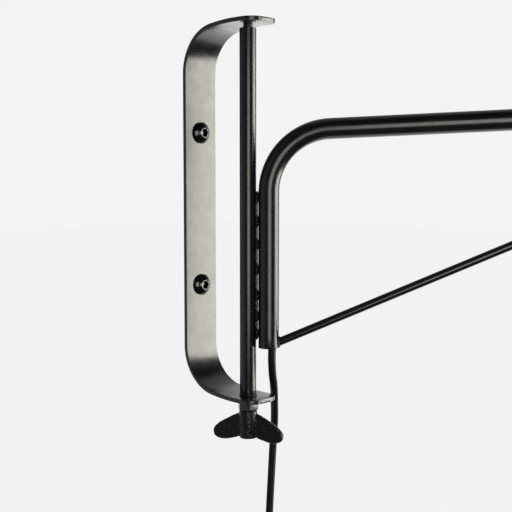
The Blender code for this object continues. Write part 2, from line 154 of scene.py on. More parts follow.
def rounded(points, radius, steps=4, closed=True):
    """The outline with each corner replaced by a small curve that starts up to one radius from it."""
    found = []
    count = len(points)
    for i, point in enumerate(points):
        here = Vector(point)
        if not closed and i in (0, count - 1):
            found.append(tuple(here))
            continue
        before, after = Vector(points[i - 1]), Vector(points[(i + 1) % count])
        reach = min(radius, (before - here).length * 0.45, (after - here).length * 0.45)
        start = here + (before - here).normalized() * reach
        end = here + (after - here).normalized() * reach
        for step in range(steps + 1):
            t = step / steps
            found.append(tuple(start * (1 - t) ** 2 + here * 2 * t * (1 - t) + end * t**2))
    return found


def lathe(name, profile, steps=64, closed=False, wave=None):
    """A profile of (radius, height) turned about Z. wave(radius, height, angle) can change the radius."""
    points, faces = [], []
    rows = len(profile)
    for step in range(steps):
        angle = 2 * math.pi * step / steps
        for radius, height in profile:
            if wave:
                radius = wave(radius, height, angle)
            points.append((radius * math.cos(angle), radius * math.sin(angle), height))
    for step in range(steps):
        following = (step + 1) % steps
        for row in range(rows if closed else rows - 1):
            beside = (row + 1) % rows
            faces.append(
                (step * rows + row, following * rows + row, following * rows + beside, step * rows + beside)
            )
    return from_points(name, points, faces)


def frames_along(path, closed=False):
    """(point, side, other side) at each point, with the sides turning no more than the path does."""
    path = [Vector(p) for p in path]
    count = len(path)
    found = []
    side = None
    for i, point in enumerate(path):
        before = path[i - 1] if i or closed else point
        after = path[(i + 1) % count] if i < count - 1 or closed else point
        ahead = (after - before).normalized()
        if side is None:
            side = ahead.orthogonal()
        side = (side - ahead * side.dot(ahead)).normalized()
        found.append((point, side.copy(), ahead.cross(side)))
    return found


def sweep(name, path, radii, sides=24, closed=False):
    """A round bar along the path. radii is one radius, or one for each point."""
    if not isinstance(radii, (list, tuple)):
        radii = [radii] * len(path)
    points, faces = [], []
    for (point, side, other), radius in zip(frames_along(path, closed), radii):
        for k in range(sides):
            angle = 2 * math.pi * k / sides
            points.append(point + side * (radius * math.cos(angle)) + other * (radius * math.sin(angle)))
    rings = len(path)
    for i in range(rings if closed else rings - 1):
        j = (i + 1) % rings
        for k in range(sides):
            m = (k + 1) % sides
            faces.append((i * sides + k, i * sides + m, j * sides + m, j * sides + k))
    if not closed:
        faces.append(tuple(reversed(range(sides))))
        faces.append(tuple(range((rings - 1) * sides, rings * sides)))
    return from_points(name, points, faces)


def plate(name, outline, thickness):
    """A flat outline in XY, with its thickness centred on Z = 0."""
    shape = bmesh.new()
    face = shape.faces.new([shape.verts.new((x, y, -thickness / 2)) for x, y in outline])
    made = bmesh.ops.extrude_face_region(shape, geom=[face])
    moved = [item for item in made["geom"] if isinstance(item, bmesh.types.BMVert)]
    bmesh.ops.translate(shape, verts=moved, vec=(0, 0, thickness))
    bmesh.ops.recalc_face_normals(shape, faces=shape.faces)
    mesh = bpy.data.meshes.new(name)
    shape.to_mesh(mesh)
    shape.free()
    return linked(name, mesh)


def prism(name, radius, height, sides, turn=0.0):
    outline = [
        (radius * math.cos(turn + 2 * math.pi * k / sides), radius * math.sin(turn + 2 * math.pi * k / sides))
        for k in range(sides)
    ]
    return plate(name, outline, height)


def moved(piece, matrix):
    piece.data.transform(matrix)
    return piece


def baked(piece):
    """The piece with its modifiers applied."""
    bpy.context.view_layer.update()
    evaluated = piece.evaluated_get(bpy.context.evaluated_depsgraph_get())
    mesh = bpy.data.meshes.new_from_object(evaluated)
    piece.modifiers.clear()
    piece.data = mesh
    return piece


def carved(piece, cutter, operation="DIFFERENCE"):
    change = piece.modifiers.new("carve", "BOOLEAN")
    change.operation = operation
    change.solver = "EXACT"
    change.object = cutter
    baked(piece)
    bpy.data.objects.remove(cutter)
    return piece


def bevelled(piece, width, segments=3, angle=30):
    change = piece.modifiers.new("edges", "BEVEL")
    change.width = width
    change.segments = segments
    change.limit_method = "ANGLE"
    change.angle_limit = math.radians(angle)
    return baked(piece)


def roughened(piece, layers):
    """Moves each point along its normal by layers of (height, size) noise."""
    for vertex in piece.data.vertices:
        shift = sum(height * noise.noise(vertex.co / size) for height, size in layers)
        vertex.co += vertex.normal * shift
    return piece


def finished(piece, surface, body, slot, *nodes, angle=40):
    piece.data.materials.clear()
    piece.data.materials.append(surface)
    piece.data.shade_smooth()
    piece.data.set_sharp_from_angle(angle=math.radians(angle))
    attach(piece, body)
    if nodes:
        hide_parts(*nodes)
    return piece


def smooth_route(points, spacing):
    """Points on a Catmull-Rom curve through the route, about one spacing apart."""
    route = [Vector(p) for p in points]
    route = [2 * route[0] - route[1], *route, 2 * route[-1] - route[-2]]
    found = [route[1]]
    for a, b, c, d in zip(route, route[1:], route[2:], route[3:]):
        steps = max(1, round((c - b).length / spacing))
        for i in range(1, steps + 1):
            t = i / steps
            found.append(
                0.5 * (2 * b + (c - a) * t + (2 * a - 5 * b + 4 * c - d) * t**2 + (3 * b - a - 3 * c + d) * t**3)
            )
    return found


# Materials


class Surface:
    """A Principled material with a few procedural layers in object space."""

    def __init__(self, name, colour, roughness, metallic=0.0, **settings):
        self.material = bpy.data.materials.new(name)
        self.material.use_nodes = True
        self.nodes = self.material.node_tree.nodes
        self.links = self.material.node_tree.links
        self.shader = self.nodes["Principled BSDF"]
        self.colour = colour
        self.shader.inputs["Base Color"].default_value = (*colour, 1.0)
        self.shader.inputs["Roughness"].default_value = roughness
        self.shader.inputs["Metallic"].default_value = metallic
        for socket, value in settings.items():
            self.shader.inputs[socket.replace("_", " ")].default_value = value
        self.place = self.nodes.new("ShaderNodeTexCoord").outputs["Object"]
        self.normal = None

    def noise(self, scale, detail=3.0, stretch=(1, 1, 1)):
        mapping = self.nodes.new("ShaderNodeMapping")
        mapping.inputs["Scale"].default_value = stretch
        self.links.new(self.place, mapping.inputs["Vector"])
        texture = self.nodes.new("ShaderNodeTexNoise")
        texture.inputs["Scale"].default_value = scale
        texture.inputs["Detail"].default_value = detail
        self.links.new(mapping.outputs["Vector"], texture.inputs["Vector"])
        return texture.outputs["Fac"]

    def ramp(self, source, low, high, start=0.35, end=0.65):
        """Maps the source from start..end to two numbers or two colours."""
        made = self.nodes.new("ShaderNodeValToRGB")
        made.color_ramp.elements[0].position = start
        made.color_ramp.elements[1].position = end
        for element, value in zip(made.color_ramp.elements, (low, high)):
            element.color = (*value, 1.0) if isinstance(value, tuple) else (value, value, value, 1.0)
        self.links.new(source, made.inputs["Fac"])
        return made.outputs["Color"]

    def vary(self, socket, source, low, high, start=0.35, end=0.65):
        self.links.new(self.ramp(source, low, high, start, end), self.shader.inputs[socket])
        return self

    def bump(self, source, height, strength=1.0):
        made = self.nodes.new("ShaderNodeBump")
        made.inputs["Distance"].default_value = height
        made.inputs["Strength"].default_value = strength
        self.links.new(source, made.inputs["Height"])
        if self.normal:
            self.links.new(self.normal, made.inputs["Normal"])
        self.normal = made.outputs["Normal"]
        self.links.new(self.normal, self.shader.inputs["Normal"])
        return self


def tinted(colour, factor):
    return tuple(channel * factor for channel in colour)


def satin_paint(name, colour, smooth, rough, peel, mottle_size, mottle_depth, gloss=0.5):
    """Satin black paint: fine orange peel, and slightly duller patches of a given size."""
    surface = Surface(name, colour, rough, Specular_IOR_Level=gloss)
    surface.vary("Roughness", surface.noise(1 / mottle_size, 6.0), smooth, rough, 0.3, 0.7)
    surface.vary("Base Color", surface.noise(45, 5.0), tinted(colour, 0.8), tinted(colour, 1.35))
    surface.bump(surface.noise(900, 2.0), peel)
    surface.bump(surface.noise(1 / mottle_size, 4.0), mottle_depth)
    return surface.material


def make_materials():
    made = {
        "strip": satin_paint("strip_black", (0.0055, 0.0055, 0.0056), 0.24, 0.32, 0.000010, 0.010, 0.000012, 0.53),
        "tube": satin_paint("satin_black", (0.0055, 0.0055, 0.0060), 0.20, 0.28, 0.000008, 0.006, 0.000005, 0.42),
        "weld": satin_paint("weld_black", (0.0045, 0.0045, 0.0050), 0.20, 0.30, 0.000020, 0.003, 0.000030, 0.22),
    }

    oxide = Surface("black_oxide", (0.003, 0.003, 0.0035), 0.12)
    oxide.vary("Roughness", oxide.noise(300, 4.0), 0.09, 0.2)
    oxide.bump(oxide.noise(700, 2.0), 0.000004)
    made["oxide"] = oxide.material

    nut = Surface("nut_black", (0.010, 0.010, 0.011), 0.28)
    nut.vary("Roughness", nut.noise(220, 5.0), 0.22, 0.42)
    nut.vary("Base Color", nut.noise(90, 5.0), (0.007, 0.007, 0.008), (0.022, 0.020, 0.018))
    nut.bump(nut.noise(600, 4.0), 0.000015)
    made["nut"] = nut.material

    cast = Surface("cast_black", (0.006, 0.006, 0.006), 0.3, Specular_IOR_Level=0.25)
    cast.vary("Roughness", cast.noise(500, 4.0), 0.16, 0.42)
    cast.vary("Base Color", cast.noise(150, 5.0), (0.0025, 0.0025, 0.0025), (0.006, 0.0055, 0.005))
    cast.bump(cast.noise(1400, 5.0), 0.00012)
    cast.bump(cast.noise(420, 3.0), 0.00030)
    made["cast"] = cast.material

    # Bronze for the thrust washer; on the upper pivot pin this colour is painted warm reflection
    bronze = Surface("oiled_bronze", (0.10, 0.065, 0.040), 0.4, 0.7)
    bronze.vary("Base Color", bronze.noise(260, 5.0), (0.018, 0.014, 0.011), (0.075, 0.052, 0.036))
    bronze.bump(bronze.noise(900, 3.0), 0.000010)
    made["bronze"] = bronze.material

    rubber = Surface("rubber", (0.012, 0.012, 0.012), 0.6)
    rubber.vary("Roughness", rubber.noise(400, 4.0), 0.5, 0.7)
    rubber.bump(rubber.noise(1200, 3.0), 0.00002)
    made["rubber"] = rubber.material

    flex = Surface("flex", (0.010, 0.010, 0.010), 0.42, Specular_IOR_Level=0.15)
    flex.vary("Roughness", flex.noise(120, 4.0), 0.34, 0.5)
    flex.vary("Base Color", flex.noise(60, 4.0), (0.0025, 0.0025, 0.0025), (0.004, 0.0037, 0.0035))
    flex.bump(flex.noise(700, 3.0), 0.000020)
    made["flex"] = flex.material

    plug = Surface("plug_black", (0.012, 0.012, 0.012), 0.45)
    plug.vary("Roughness", plug.noise(500, 4.0), 0.36, 0.55)
    plug.bump(plug.noise(1600, 2.0), 0.00002)
    made["plug"] = plug.material

    nickel = Surface("nickel", (0.62, 0.59, 0.53), 0.2, 1.0)
    nickel.vary("Roughness", nickel.noise(300, 4.0, (1, 1, 0.15)), 0.14, 0.3)
    nickel.vary("Base Color", nickel.noise(80, 4.0), (0.55, 0.52, 0.46), (0.68, 0.65, 0.60))
    nickel.bump(nickel.noise(900, 2.0), 0.000004)
    made["nickel"] = nickel.material

    porcelain = Surface("porcelain", (0.80, 0.78, 0.73), 0.15, Coat_Weight=0.6)
    porcelain.vary("Base Color", porcelain.noise(120, 4.0), (0.76, 0.74, 0.68), (0.84, 0.82, 0.78))
    porcelain.bump(porcelain.noise(400, 2.0), 0.00001)
    made["porcelain"] = porcelain.material

    opal = Surface("opal_glass", (0.86, 0.85, 0.82), 0.08, Coat_Weight=0.5, Subsurface_Weight=0.15)
    opal.vary("Base Color", opal.noise(25, 3.0), (0.84, 0.83, 0.80), (0.88, 0.87, 0.85))
    opal.vary("Roughness", opal.noise(60, 3.0), 0.05, 0.11)
    opal.bump(opal.noise(18, 2.0), 0.00006)
    made["opal"] = opal.material
    return made


# Wall bracket


def strip_stations():
    """(x, z, outward direction, half width, edge inset) along the outer face, upper tip to mid-height."""
    reach, top = strip_high.x, strip_high.z
    half = strip_high.y
    rise = BEND_RADIUS * math.sin(BEND_ANGLE) + EASE_RADIUS * (1 - math.sin(BEND_ANGLE))
    first = (BEND_RADIUS, top - rise)
    second = (
        first[0] + (EASE_RADIUS - BEND_RADIUS) * math.cos(BEND_ANGLE),
        first[1] - (EASE_RADIUS - BEND_RADIUS) * math.sin(BEND_ANGLE),
    )
    found = [(reach, top, math.pi / 2, half - TIP_CORNER, 0.0005)]
    for step in range(13):
        turn = math.radians(7.5 * step)
        x = reach - TIP_CORNER * (1 - math.cos(turn)) - 0.0002
        found.append((x, top, math.pi / 2, half - TIP_CORNER * (1 - math.sin(turn)), 0.0))
    for step in range(1, 7):
        angle = math.pi / 2 + (math.pi / 2 - BEND_ANGLE) * step / 6
        x, z = second[0] + EASE_RADIUS * math.cos(angle), second[1] + EASE_RADIUS * math.sin(angle)
        found.append((x, z, angle, half, 0.0))
    for step in range(1, 33):
        angle = math.pi - BEND_ANGLE + BEND_ANGLE * step / 32
        x, z = first[0] + BEND_RADIUS * math.cos(angle), first[1] + BEND_RADIUS * math.sin(angle)
        found.append((x, z, angle, half, 0.0))
    for step in range(1, 12):
        found.append((0.0, first[1] * (1 - step / 12), math.pi, half, 0.0))
    return found


def bracket_strip(surface):
    """The bent strip, swept as a flat section with eased edges, with its holes drilled."""
    thickness, ease = 0.004, 0.00045
    upper = strip_stations()
    middle = [(0.0, 0.0, math.pi, strip_high.y, 0.0)]
    lower = [(x, -z, -angle, half, inset) for x, z, angle, half, inset in reversed(upper)]
    points, faces = [], []
    for x, z, angle, half, inset in upper + middle + lower:
        corners = [(-half + inset, -inset), (half - inset, -inset)]
        corners += [(half - inset, inset - thickness), (-half + inset, inset - thickness)]
        for across, depth in rounded(corners, ease):
            points.append((x + depth * math.cos(angle), across, z + depth * math.sin(angle)))
    section = len(rounded([(0, 0), (1, 0), (1, 1), (0, 1)], 0.1))
    rings = len(points) // section
    for i in range(rings - 1):
        for k in range(section):
            m = (k + 1) % section
            faces.append(
                (i * section + k, i * section + m, (i + 1) * section + m, (i + 1) * section + k)
            )
    faces.append(tuple(reversed(range(section))))
    faces.append(tuple(range((rings - 1) * section, rings * section)))
    strip = from_points("strip", points, faces)
    for radius, height in ((0.0048, strip_high.z), (0.0063, strip_low.z)):
        hole = prism("hole", radius, 0.012, 48)
        carved(strip, moved(hole, Matrix.Translation((PIVOT_X, 0, height))))
    for node in ("upper_wall_screw", "lower_wall_screw"):
        low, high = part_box(node)
        hole = prism("hole", 0.0064, 0.03, 48)
        place = Matrix.Translation((0, (low.y + high.y) / 2, (low.z + high.z) / 2))
        carved(strip, moved(hole, place @ Matrix.Rotation(math.pi / 2, 4, "Y")))
    finished(strip, surface, "wall_bracket", "strip_black", "bracket_strip", angle=30)


def wall_screw(node, surface):
    """A dome head with a countersunk hex socket, on a coarse screw that runs into the wall."""
    low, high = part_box(node)
    seat = 0.0043
    radius = (high.z - low.z) / 2
    height = high.x - seat
    rim = 0.0012
    dome = arc((0, 0), 1.0, math.radians(26), math.radians(78), 14)
    profile = []
    for x, y in dome:
        rise = (y - dome[0][1]) / (1 - dome[0][1])
        profile.append((radius * x / dome[0][0], seat + rim + (height - rim) * rise))
    lip = 0.0052
    profile = [point for point in profile if point[0] > lip + 0.0004]
    profile = [(radius - 0.0004, seat), (radius, seat + 0.0004)] + profile
    top = seat + height
    profile += [(lip, top - 0.0001), (lip - 0.00015, top), (0.0047, top - 0.00035), (0.0, top - 0.00035)]
    profile.reverse()
    profile += [(0.0060, seat), (0.0057, seat - 0.0004)]
    coil_top, coil_bottom, coils = 0.003, low.x + 0.001, 8
    for step in range(coils * 2 + 1):
        share = step / (coils * 2)
        profile.append((0.0058 - 0.0010 * (step % 2), coil_top + (coil_bottom - coil_top) * share))
    profile += [(0.0046, low.x), (0.0, low.x)]
    screw = lathe(node + "_look", profile, 72)
    socket = prism("socket", 0.0040 / math.cos(math.pi / 6), 0.0080, 6, math.pi / 6)
    carved(screw, moved(socket, Matrix.Translation((0, 0, top))))
    middle = Matrix.Translation((0, (low.y + high.y) / 2, (low.z + high.z) / 2))
    moved(screw, middle @ Matrix.Rotation(math.pi / 2, 4, "Y"))
    finished(screw, surface, "wall_bracket", "black_oxide", node, angle=32)


# Pivot


def turned_piece(node, profile, surface, slot, matrix, body="swing_arm", closed=True, edge=0.0003, **shape):
    piece = lathe(node + "_look", rounded(profile, edge, 4, closed), closed=closed, **shape)
    return finished(moved(piece, matrix), surface, body, slot, node)


def ring_profile(outer, inner, top, bottom):
    return [(outer, top), (outer, bottom), (inner, bottom), (inner, top)]


def pivot(materials):
    radius = (pivot_high.x - pivot_low.x) / 2
    profile = ring_profile(radius, 0.006, pivot_high.z, pivot_low.z)
    turned_piece("pivot_tube", profile, materials["tube"], "satin_black", SWING, edge=0.0005)
    for node, outer, surface, slot in (
        ("thrust_washer", 0.0087, "bronze", "bronze"),
        ("clamp_washer", 0.0120, "nut", "black_oxide"),
    ):
        low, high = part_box(node)
        profile = ring_profile(outer, STUD + 0.0003, high.z, low.z)
        turned_piece(node, profile, materials[surface], slot, SWING)
    low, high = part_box("upper_pivot_pin")
    shoulder = pivot_high.z - 0.001
    profile = [(0, high.z), (0.0044, high.z), (0.0044, shoulder)]
    profile += [(0.0057, shoulder), (0.0057, low.z), (0, low.z)]
    # The pin is black-oxide steel; its bronze colour is painted warm reflection on the neck
    turned_piece("upper_pivot_pin", profile, materials["bronze"], "black_oxide", SWING, closed=False)
    low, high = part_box("lower_pivot_stud")
    profile = [(0, high.z), (STUD, high.z)]
    pitch, depth = 0.00175, 0.0006
    turns = int((high.z - low.z - 0.002) / pitch * 2)
    profile += [(STUD - depth * (i % 2), high.z - 0.001 - pitch / 2 * i) for i in range(turns)]
    profile += [(STUD - 0.001, low.z), (0, low.z)]
    turned_piece("lower_pivot_stud", profile, materials["nut"], "black_oxide", SWING, closed=False, edge=0.0001)
    hex_nut(materials["nut"])
    wing_nut(materials["cast"])


def chamfered_hexagon(name, flats, height, hole, turn):
    """A hexagon whose corners are turned down at both ends, with a hole."""
    corner = flats / 2 / math.cos(math.pi / 6)
    nut = prism(name, corner, height, 6, turn)
    drop = (corner - flats / 2) * 0.55
    half = height / 2
    body = [(0, half), (flats / 2 * 0.97, half), (corner, half - drop), (corner, drop - half)]
    body += [(flats / 2 * 0.97, -half), (0, -half)]
    carved(nut, lathe("chamfer", body, 96), "INTERSECT")
    carved(nut, prism("hole", hole, height * 2, 48))
    return bevelled(nut, 0.00018, 2, 25)


def hex_nut(surface):
    low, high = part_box("hex_nut")
    nut = chamfered_hexagon("hex_nut_look", 0.018, high.z - low.z, STUD + 0.0003, math.radians(-15))
    moved(nut, SWING @ Matrix.Translation((0, 0, (low.z + high.z) / 2)))
    finished(nut, surface, "swing_arm", "black_oxide", "hex_nut", angle=25)


def wing_nut(surface):
    """A sand-cast wing nut: hub and wings melted together, then given a rough skin."""
    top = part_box("wing_nut")[1].z
    radius, bottom = 0.0092, top - 0.0284
    profile = [(radius - 0.0004, top - 0.0004), (radius, top - 0.012), (radius - 0.0008, bottom + 0.0006)]
    profile += [(STUD + 0.0006, bottom + 0.0006), (STUD + 0.0006, top - 0.0004)]
    nut = lathe("wing_nut_look", rounded(profile, 0.0008), 64, closed=True)
    upper = [(0.0075, 0.0029), (0.0165, 0.0073), (0.0247, 0.0119), (0.0309, 0.0156), (0.0350, 0.0199)]
    lower = [(0.0366, 0.0237), (0.0351, 0.0288), (0.0302, 0.0311), (0.0227, 0.0314), (0.0144, 0.0291)]
    outline = [(x, -drop) for x, drop in upper + lower + [(0.0075, 0.0269)]]
    for turn in (0.0, math.pi):
        wing = bevelled(plate("wing", rounded(outline, 0.004, 5), 0.0054), 0.0021, 4, 50)
        upright = Matrix.Rotation(turn, 4, "Z") @ Matrix.Rotation(math.pi / 2, 4, "X")
        carved(nut, moved(wing, Matrix.Translation((0, 0, top)) @ upright), "UNION")
    melt = nut.modifiers.new("melt", "REMESH")
    melt.mode = "VOXEL"
    melt.voxel_size = 0.00045
    soften = nut.modifiers.new("soften", "SMOOTH")
    soften.factor = 0.6
    soften.iterations = 7
    baked(nut)
    roughened(nut, ((0.00022, 0.0035), (0.00016, 0.0012)))
    moved(nut, Matrix.Translation((PIVOT_X, 0, 0)) @ Matrix.Rotation(WING_TURN, 4, "Z"))
    finished(nut, surface, "wing_nut", "cast_black", "wing_nut", angle=180)


# Arm


def arm_path(start=0.0, end=ARM_LENGTH):
    """The arm tube's centre line in the arm's own plane: up, round the bend, then out."""
    points = [(0.0, ARM_BOTTOM + start + (ARM_BEND_START - ARM_BOTTOM - start) * i / 12) for i in range(13)]
    sweep_angle = math.pi / 2 - ARM_RISE
    points += arc((ARM_BEND_RADIUS, ARM_BEND_START), ARM_BEND_RADIUS, math.pi, math.pi - sweep_angle, 40)[1:]
    x, z = points[-1]
    points += [
        (x + (end - x) * i / 24, z + (end - x) * i / 24 * math.tan(ARM_RISE)) for i in range(1, 25)
    ]
    return [Vector((px, 0.0, pz)) for px, pz in points]


def hollow_sweep(name, path, outer, inner, lip, sides=72):
    """A tube along the path: its outside, a rounded lip at each end and its inside, in one closed mesh."""
    ahead = (path[1] - path[0]).normalized()
    back = (path[-1] - path[-2]).normalized()
    starts = [path[0] + ahead * lip * (1 - math.cos(math.radians(30 * i))) for i in range(4)]
    ends = [path[-1] - back * lip * (1 - math.cos(math.radians(30 * i))) for i in reversed(range(4))]
    grow = [lip * (1 - math.sin(math.radians(30 * i))) for i in range(4)]
    line = starts + path[1:-1] + ends
    outside = [outer - g for g in grow] + [outer] * (len(path) - 2) + [outer - g for g in reversed(grow)]
    inside = [inner + g for g in grow] + [inner] * (len(path) - 2) + [inner + g for g in reversed(grow)]
    rows = frames_along(line)
    points, faces = [], []
    for radii, order in ((outside, range(len(line))), (inside, reversed(range(len(line))))):
        for i in order:
            point, side, other = rows[i]
            for k in range(sides):
                angle = 2 * math.pi * k / sides
                points.append(point + side * (radii[i] * math.cos(angle)) + other * (radii[i] * math.sin(angle)))
    rings = 2 * len(line)
    for i in range(rings):
        j = (i + 1) % rings
        for k in range(sides):
            m = (k + 1) % sides
            faces.append((i * sides + k, i * sides + m, j * sides + m, j * sides + k))
    return from_points(name, points, faces)


def weld_bead(name, path, radius, ripple=0.0011, closed=False):
    """A weld bead: overlapping ripples along the path, tapering off at open ends."""
    line = smooth_route(path, 0.00022)
    if closed:
        line.pop()
    count = len(line)
    travelled, radii = 0.0, []
    for i, point in enumerate(line):
        if i:
            travelled += (point - line[i - 1]).length
        phase = (travelled / ripple) % 1.0
        size = radius * (0.86 + 0.14 * math.sin(math.pi * phase))
        size *= 1 + 0.08 * noise.noise(point * 700)
        if not closed:
            end = min(i, count - 1 - i) / (count * 0.18)
            size *= math.sqrt(max(0.02, min(1.0, end)))
        radii.append(size)
    return sweep(name, line, radii, 16, closed)


def tube_seam(materials):
    """The flat spacer between the two upright tubes, and its stitch welds."""
    height = 0.140
    corners = [(-0.0117, -0.0028), (-0.0103, -0.0028), (-0.0103, 0.0028), (-0.0117, 0.0028)]
    spacer = bevelled(plate("seam_spacer_look", corners, height), 0.0003, 2)
    moved(spacer, ARM @ Matrix.Translation((0, 0, 0.020 - height / 2)))
    finished(spacer, materials["tube"], "swing_arm", "satin_black", "seam_spacer")
    for number in range(1, 8):
        node = f"seam_weld_{number}"
        low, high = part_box(node)
        x, depth = -0.0110, -0.0046
        steps = [low.z + (high.z - low.z) * i / 6 for i in range(7)]
        line = [(x + 0.0001 * math.sin(4 * i + number), depth, z) for i, z in enumerate(steps)]
        bead = weld_bead(node + "_look", line, 0.00165)
        finished(moved(bead, ARM), materials["weld"], "swing_arm", "satin_black", node, angle=180)


def brace_line():
    """The brace's centre line in the arm's plane: its two ends on the arm tube's centre line."""
    x, _, z = arm_path()[-1]
    meet = (z - x * math.tan(ARM_RISE) - BRACE_FOOT) / (BRACE_SLOPE - math.tan(ARM_RISE))
    return Vector((0.0, 0.0, BRACE_FOOT)), Vector((meet, 0.0, BRACE_FOOT + BRACE_SLOPE * meet))


def brace(materials):
    """The brace rod and the weld round each end, where it meets the tube's surface."""
    foot, head = brace_line()
    ahead = (head - foot).normalized()
    side, other = Vector((0, 1, 0)), ahead.cross(Vector((0, 1, 0)))
    start, stop = 0.0088, (head - foot).length - 0.0235
    line = [foot + ahead * (start + (stop - start) * i / 20) for i in range(21)]
    rod = sweep("brace_rod_look", line, BRACE, 40)
    finished(moved(rod, ARM), materials["tube"], "swing_arm", "satin_black", "brace_rod")
    along_arm = Vector((math.cos(ARM_RISE), 0, math.sin(ARM_RISE)))
    axes = {"foot": (foot, Vector((0, 0, 1)), 1), "head": (head, along_arm, -1)}
    for end, (centre, tube_axis, way) in axes.items():
        toe = []
        for k in range(25):
            angle = 2 * math.pi * k / 24
            offset = side * (BRACE * 0.96 * math.cos(angle)) + other * (BRACE * 0.96 * math.sin(angle))
            flat = offset - tube_axis * offset.dot(tube_axis)
            run = ahead - tube_axis * ahead.dot(tube_axis)
            a, b, c = run.dot(run), 2 * flat.dot(run), flat.dot(flat) - ARM_TUBE**2
            reach = (-b + way * math.sqrt(b * b - 4 * a * c)) / (2 * a)
            toe.append(centre + offset + ahead * reach)
        node = f"brace_{end}_weld"
        bead = weld_bead(node + "_look", toe, 0.0014 if end == "foot" else 0.0015, 0.0013, closed=True)
        finished(moved(bead, ARM), materials["weld"], "swing_arm", "satin_black", node, angle=180)


def arm(materials):
    tube = hollow_sweep("arm_tube_look", arm_path(), ARM_TUBE, ARM_TUBE - ARM_WALL, 0.0004)
    finished(moved(tube, ARM), materials["tube"], "swing_arm", "satin_black", "arm_tube")
    bore = ARM_TUBE - ARM_WALL - 0.0003
    grommet = prism("cord_grommet_look", bore, 0.0078, 64)
    hole = prism("hole", LEAD + 0.0003, 0.02, 48)
    carved(grommet, moved(hole, Matrix.Translation((LEAD_SHIFT, 0, 0))))
    bevelled(grommet, 0.0006, 3)
    moved(grommet, ARM @ Matrix.Translation((0, 0, ARM_BOTTOM + 0.0042)))
    finished(grommet, materials["rubber"], "swing_arm", "rubber", "cord_grommet")
    lead_line = [Vector((LEAD_SHIFT, 0, ARM_BOTTOM)), Vector((LEAD_SHIFT, 0, ARM_BOTTOM + 0.012))]
    lead_line = smooth_route(lead_line + [Vector((0.0015, 0, -0.095)), Vector((0, 0, -0.060))], 0.004)
    lead_line += arm_path(0.075, ARM_LENGTH - 0.030)[1:]
    lead = sweep("arm_lead_look", lead_line, LEAD, 20)
    finished(moved(lead, ARM), materials["flex"], "swing_arm", "flex", "arm_lead")


# Lamp end


def lamp_end(materials):
    """The holder and bulb, turned about the arm's own line. Heights run outward from the tube's end."""
    tip = arm_path()[-1]
    place = ARM @ Matrix.Translation(tip) @ Matrix.Rotation(math.pi / 2 - ARM_RISE, 4, "Y")
    bore, nipple = ARM_TUBE - ARM_WALL - 0.0003, 0.005
    plug = [(ARM_TUBE, 0.003), (ARM_TUBE, 0.0003), (bore, 0.0003), (bore, -0.012)]
    plug += [(nipple + 0.0003, -0.012), (nipple + 0.0003, 0.003)]
    turned_piece("arm_end_plug", plug, materials["tube"], "satin_black", place)
    thread = [(nipple - 0.0004 * (i % 2), 0.020 - 0.0005 * i) for i in range(1, 76)]
    profile = [(nipple - 0.0004, 0.020), *thread, (nipple - 0.0004, -0.018)]
    profile += [(0.0035, -0.018), (0.0035, 0.020)]
    turned_piece("holder_nipple", profile, materials["nickel"], "nickel", place, edge=0.0001)
    locknut = chamfered_hexagon("nipple_locknut_look", 0.014, 0.003, nipple + 0.0003, 0.0)
    moved(locknut, place @ Matrix.Translation((0, 0, 0.0049)))
    finished(locknut, materials["nut"], "swing_arm", "black_oxide", "nipple_locknut", angle=25)
    radius = 0.0195
    cap = [(0.0095, 0.0067), (nipple + 0.0003, 0.0067), (nipple + 0.0003, 0.0090), (0.0085, 0.0095)]
    cap += [(radius - 0.0025, 0.0185), (radius - 0.0025, 0.0240), (radius, 0.0240), (radius, 0.0205)]
    cap += [(radius - 0.0007, 0.0198), (radius - 0.0007, 0.0188), (radius, 0.0181), (0.0165, 0.0140)]
    turned_piece("holder_cap", cap, materials["tube"], "satin_black", place, edge=0.0007)
    shell = [(radius, 0.0618), (radius, 0.0600), (radius - 0.0008, 0.0592)]
    for ring in range(9):
        height = 0.0575 - 0.0030 * ring
        shell += [(radius - 0.0006, height + 0.0010), (radius, height), (radius - 0.0006, height - 0.0010)]
    shell += [(radius - 0.0008, 0.0310), (radius, 0.0300), (radius, 0.0243)]
    shell += [(radius - 0.0022, 0.0243), (radius - 0.0022, 0.0618)]
    turned_piece("holder_shell", shell, materials["tube"], "satin_black", place, edge=0.0004)
    block = ring_profile(0.0165, 0.004, 0.034, 0.0243)
    turned_piece("contact_block", block, materials["porcelain"], "porcelain", place, edge=0.001)
    bulb(materials, place)


def screw_wave(radius, height, angle):
    """An Edison thread: a round helix on the cap's straight part."""
    low, high, pitch = 0.0405, 0.0570, 0.00362
    if radius < 0.0120 or not low < height < high:
        return radius
    fade = min(1.0, (height - low) / pitch, (high - height) / pitch)
    return radius - 0.0005 + 0.0005 * fade * math.sin(2 * math.pi * height / pitch - angle)


